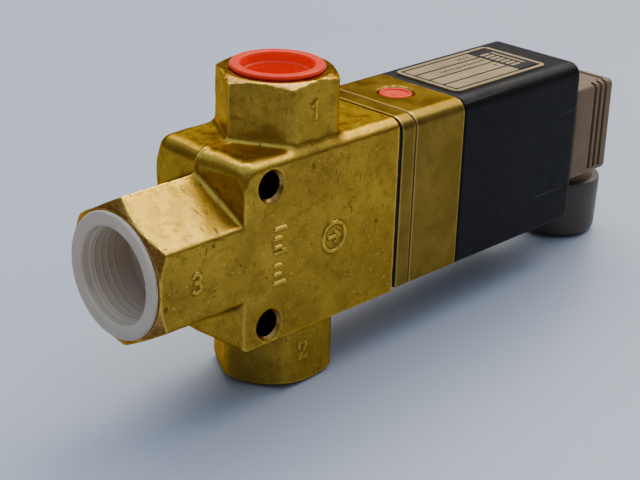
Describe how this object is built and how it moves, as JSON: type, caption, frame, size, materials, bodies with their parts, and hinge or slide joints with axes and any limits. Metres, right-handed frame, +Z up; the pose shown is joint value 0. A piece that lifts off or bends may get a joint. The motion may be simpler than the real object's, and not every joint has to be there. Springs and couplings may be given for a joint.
{
  "type": "solenoid valve",
  "caption": "Servo-assisted three-way solenoid valve: forged brass body with hexagon ports, pilot block, square black coil and angled cable plug.",
  "frame": {"origin": "centre of the A/B port's mouth, at the underside of the body", "axes": "+Z up through the P port, +X from the R port towards the coil and the cable plug, -Y the side with the raised marks"},
  "size_m": [0.1802, 0.032, 0.0786],
  "materials": {
    "forged_brass": "forged, lightly tarnished",
    "plate_brass": "satin machined",
    "turned_brass": "bright turned",
    "stainless": "bright",
    "spring_steel": "drawn wire",
    "magnet_iron": "ground soft-magnetic steel",
    "copper": "enamelled copper",
    "black_rubber": "matte",
    "fibre_gasket": "pressed fibre",
    "bobbin_plastic": "moulded",
    "coil_plastic": "satin moulded",
    "nameplate_foil": "printed foil",
    "cream_gasket": "soft",
    "plug_plastic": "fine-grained moulded",
    "gland_plastic": "fine-grained moulded",
    "red_plastic": "soft polythene",
    "milky_plastic": "translucent polythene"
  },
  "bodies": {
    "root": {"valve_body": "forged_brass", "exhaust_seat": "turned_brass", "guide_bush": "turned_brass", "spindle_o_ring": "black_rubber", "return_spring": "spring_steel", "body_gasket": "black_rubber", "mid_plate": "plate_brass", "plate_gasket": "fibre_gasket", "pilot_block": "plate_brass", "pilot_nozzle": "turned_brass", "tube_o_ring": "black_rubber", "armature_tube": "stainless", "tube_ring_nut": "turned_brass", "armature_spring": "spring_steel", "fixed_core": "magnet_iron", "shading_ring": "copper", "core_nut": "stainless", "bobbin": "bobbin_plastic", "winding": "copper", "yoke": "magnet_iron", "coil_housing": "coil_plastic", "nameplate": "nameplate_foil", "body_screws": "stainless", "terminal_base": "coil_plastic", "terminal_blades": "stainless", "plug_gasket": "cream_gasket"},
    "main_spindle": {"spindle": "stainless", "disc_holder": "turned_brass", "disc_seal_r": "black_rubber", "disc_seal_p": "black_rubber", "disc_screw": "stainless", "piston": "turned_brass", "piston_seal": "black_rubber", "piston_nut": "stainless"},
    "pilot_armature": {"armature": "magnet_iron", "armature_seal": "black_rubber"},
    "cable_plug": {"plug_housing": "plug_plastic", "contact_carrier": "coil_plastic", "terminal_screws": "stainless", "gland_seal": "black_rubber", "gland_washer": "stainless"},
    "retaining_screw": {"plug_screw": "stainless"},
    "cable_gland": {"gland_nut": "gland_plastic"},
    "port_p_cap": {"p_cap": "red_plastic"},
    "port_r_cap": {"r_cap": "milky_plastic"},
    "pilot_port_plug": {"pilot_plug": "red_plastic"}
  },
  "joints": [
    {"name": "spindle_stroke", "type": "slide", "parent": "root", "child": "main_spindle", "axis": [-1, 0, 0], "range_m": [0, 0.004], "stiffness_N_per_m": 1500, "springref_m": -0.004, "deforming": ["return_spring"]},
    {"name": "armature_stroke", "type": "slide", "parent": "root", "child": "pilot_armature", "axis": [1, 0, 0], "range_m": [0, 0.0015], "stiffness_N_per_m": 600, "springref_m": -0.003, "deforming": ["armature_spring"]},
    {"name": "plug_pull", "type": "slide", "parent": "root", "child": "cable_plug", "axis": [1, 0, 0], "range_m": [0, 0.025]},
    {"name": "screw_turn", "type": "hinge", "parent": "cable_plug", "child": "retaining_screw", "pos_m": [0.121, 0, 0.0401], "axis": [1, 0, 0], "continuous": true},
    {"name": "gland_turn", "type": "hinge", "parent": "cable_plug", "child": "cable_gland", "pos_m": [0.1185, 0, 0.01], "axis": [0, 0, 1], "continuous": true},
    {"name": "p_cap_pull", "type": "slide", "parent": "root", "child": "port_p_cap", "axis": [0, 0, 1], "range_m": [0, 0.02]},
    {"name": "r_cap_pull", "type": "slide", "parent": "root", "child": "port_r_cap", "axis": [-1, 0, 0], "range_m": [0, 0.02]},
    {"name": "pilot_plug_pull", "type": "slide", "parent": "root", "child": "pilot_port_plug", "axis": [0, 0, 1], "range_m": [0, 0.012]}
  ]
}
